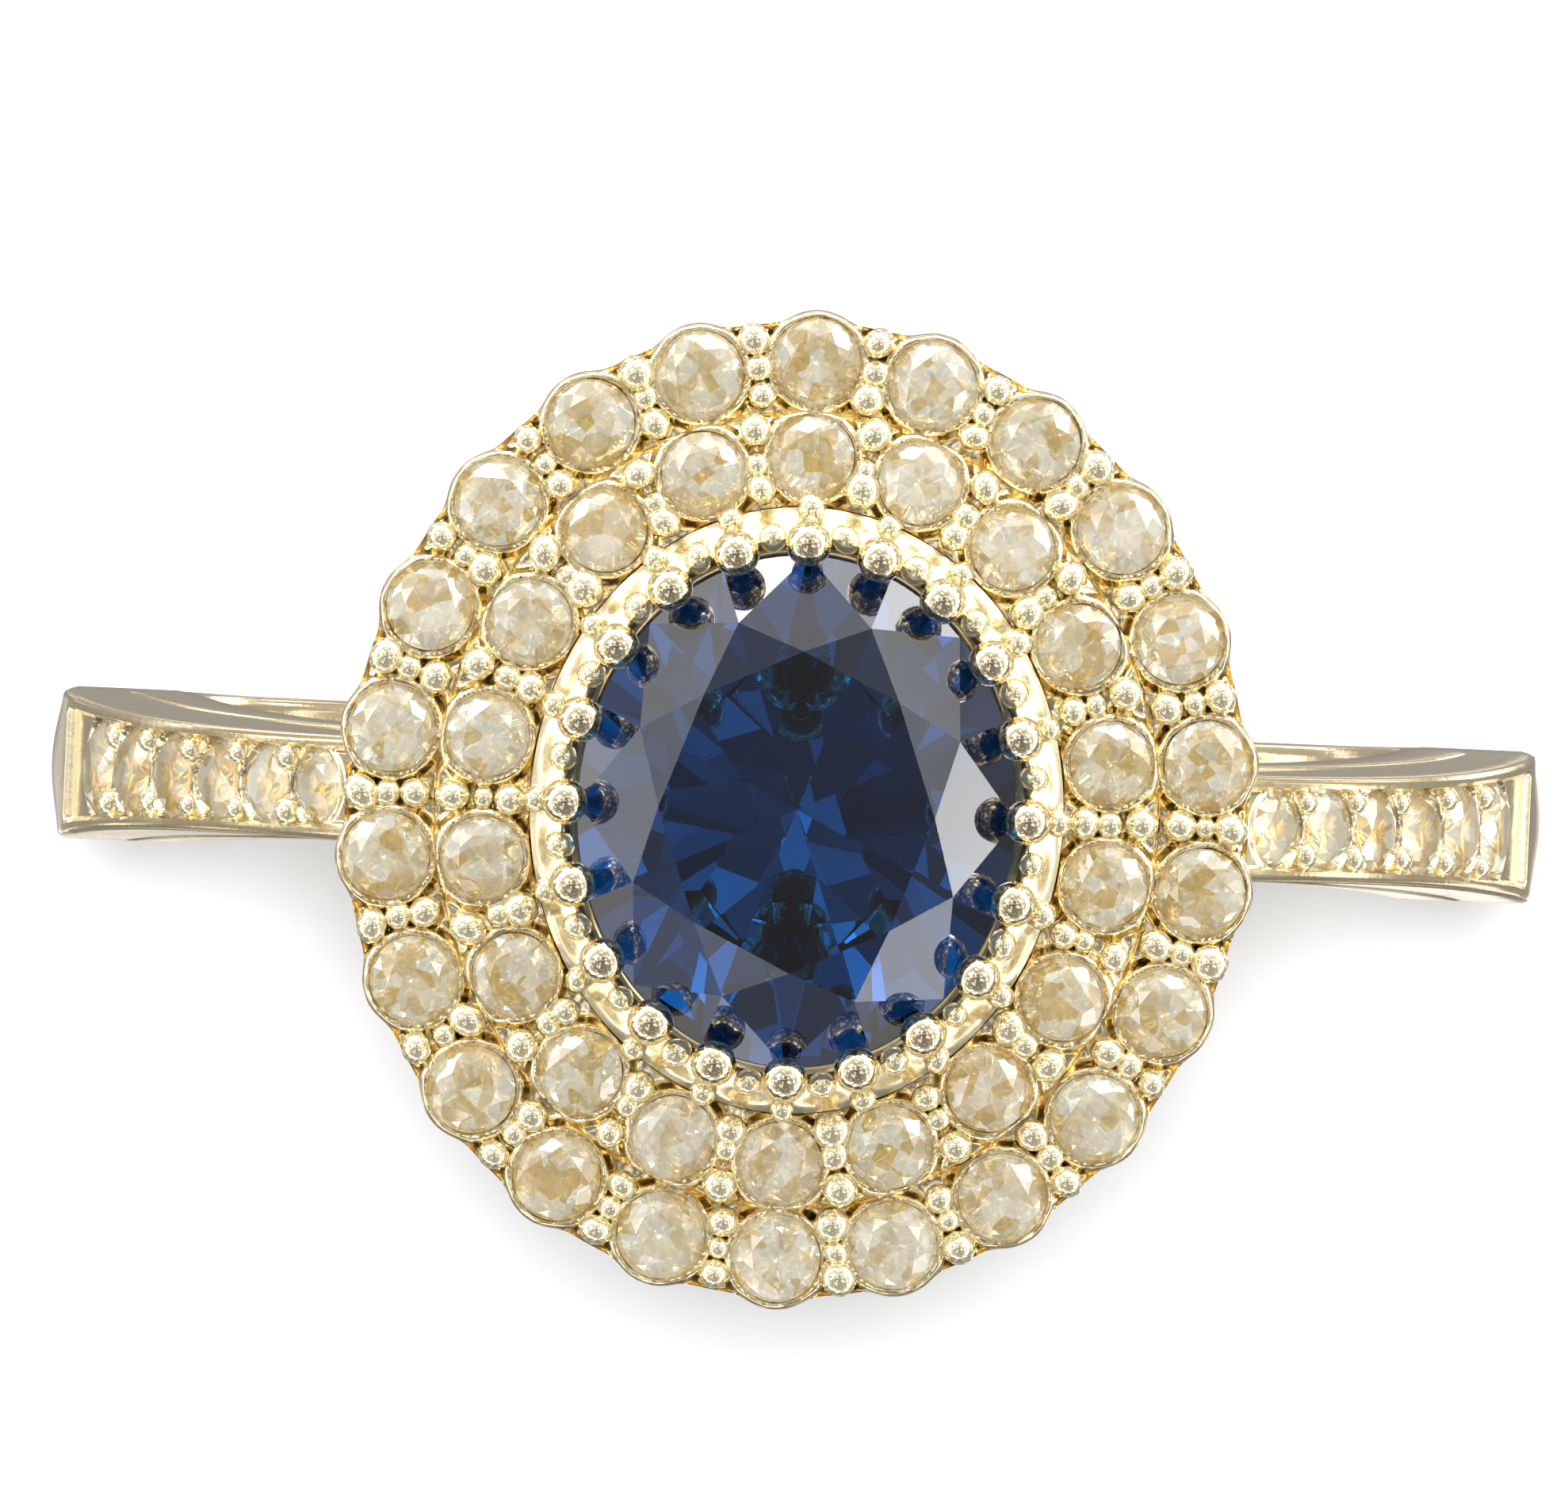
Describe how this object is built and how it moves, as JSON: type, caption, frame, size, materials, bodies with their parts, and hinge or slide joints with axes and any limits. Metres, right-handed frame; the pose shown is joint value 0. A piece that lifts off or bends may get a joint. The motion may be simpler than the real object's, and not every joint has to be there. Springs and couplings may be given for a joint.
{
  "type": "engagement ring",
  "caption": "Finger ring with an oval centre stone in ball-tipped claws, a scalloped double halo of set stones and stone-set cathedral shoulders",
  "frame": {"origin": "centre of the finger bore", "axes": "+Y runs along the finger bore, +Z points out through the head, +X runs across the finger through the right shoulder"},
  "size_m": [0.021, 0.0138, 0.0242],
  "materials": {
    "gold": "polished",
    "gold_grain": "polished",
    "sapphire": "polished",
    "diamond": "polished"
  },
  "bodies": {
    "root": {"shank_band": "gold", "left_shoulder": "gold", "right_shoulder": "gold", "head_base": "gold", "gallery_rail": "gold", "gallery_ribs": "gold", "collet_lower_rail": "gold", "collet_upper_rail": "gold", "claws": "gold", "halo_inner_tier": "gold", "halo_outer_tier": "gold", "outer_edge_grains": "gold_grain", "outer_row_grains": "gold_grain", "inner_row_grains": "gold_grain", "inner_edge_grains": "gold_grain", "left_shoulder_grains": "gold_grain", "right_shoulder_grains": "gold_grain", "centre_sapphire": "sapphire", "left_shoulder_diamonds": "diamond", "right_shoulder_diamonds": "diamond", "halo_diamond_inner_01": "diamond", "halo_diamond_inner_02": "diamond", "halo_diamond_inner_03": "diamond", "halo_diamond_inner_04": "diamond", "halo_diamond_inner_05": "diamond", "halo_diamond_inner_06": "diamond", "halo_diamond_inner_07": "diamond", "halo_diamond_inner_08": "diamond", "halo_diamond_inner_09": "diamond", "halo_diamond_inner_10": "diamond", "halo_diamond_inner_11": "diamond", "halo_diamond_inner_12": "diamond", "halo_diamond_inner_13": "diamond", "halo_diamond_inner_14": "diamond", "halo_diamond_inner_15": "diamond", "halo_diamond_inner_16": "diamond", "halo_diamond_inner_17": "diamond", "halo_diamond_inner_18": "diamond", "halo_diamond_outer_01": "diamond", "halo_diamond_outer_02": "diamond", "halo_diamond_outer_03": "diamond", "halo_diamond_outer_04": "diamond", "halo_diamond_outer_05": "diamond", "halo_diamond_outer_06": "diamond", "halo_diamond_outer_07": "diamond", "halo_diamond_outer_08": "diamond", "halo_diamond_outer_09": "diamond", "halo_diamond_outer_10": "diamond", "halo_diamond_outer_11": "diamond", "halo_diamond_outer_12": "diamond", "halo_diamond_outer_13": "diamond", "halo_diamond_outer_14": "diamond", "halo_diamond_outer_15": "diamond", "halo_diamond_outer_16": "diamond", "halo_diamond_outer_17": "diamond", "halo_diamond_outer_18": "diamond", "halo_diamond_outer_19": "diamond", "halo_diamond_outer_20": "diamond", "halo_diamond_outer_21": "diamond", "halo_diamond_outer_22": "diamond"}
  },
  "joints": []
}
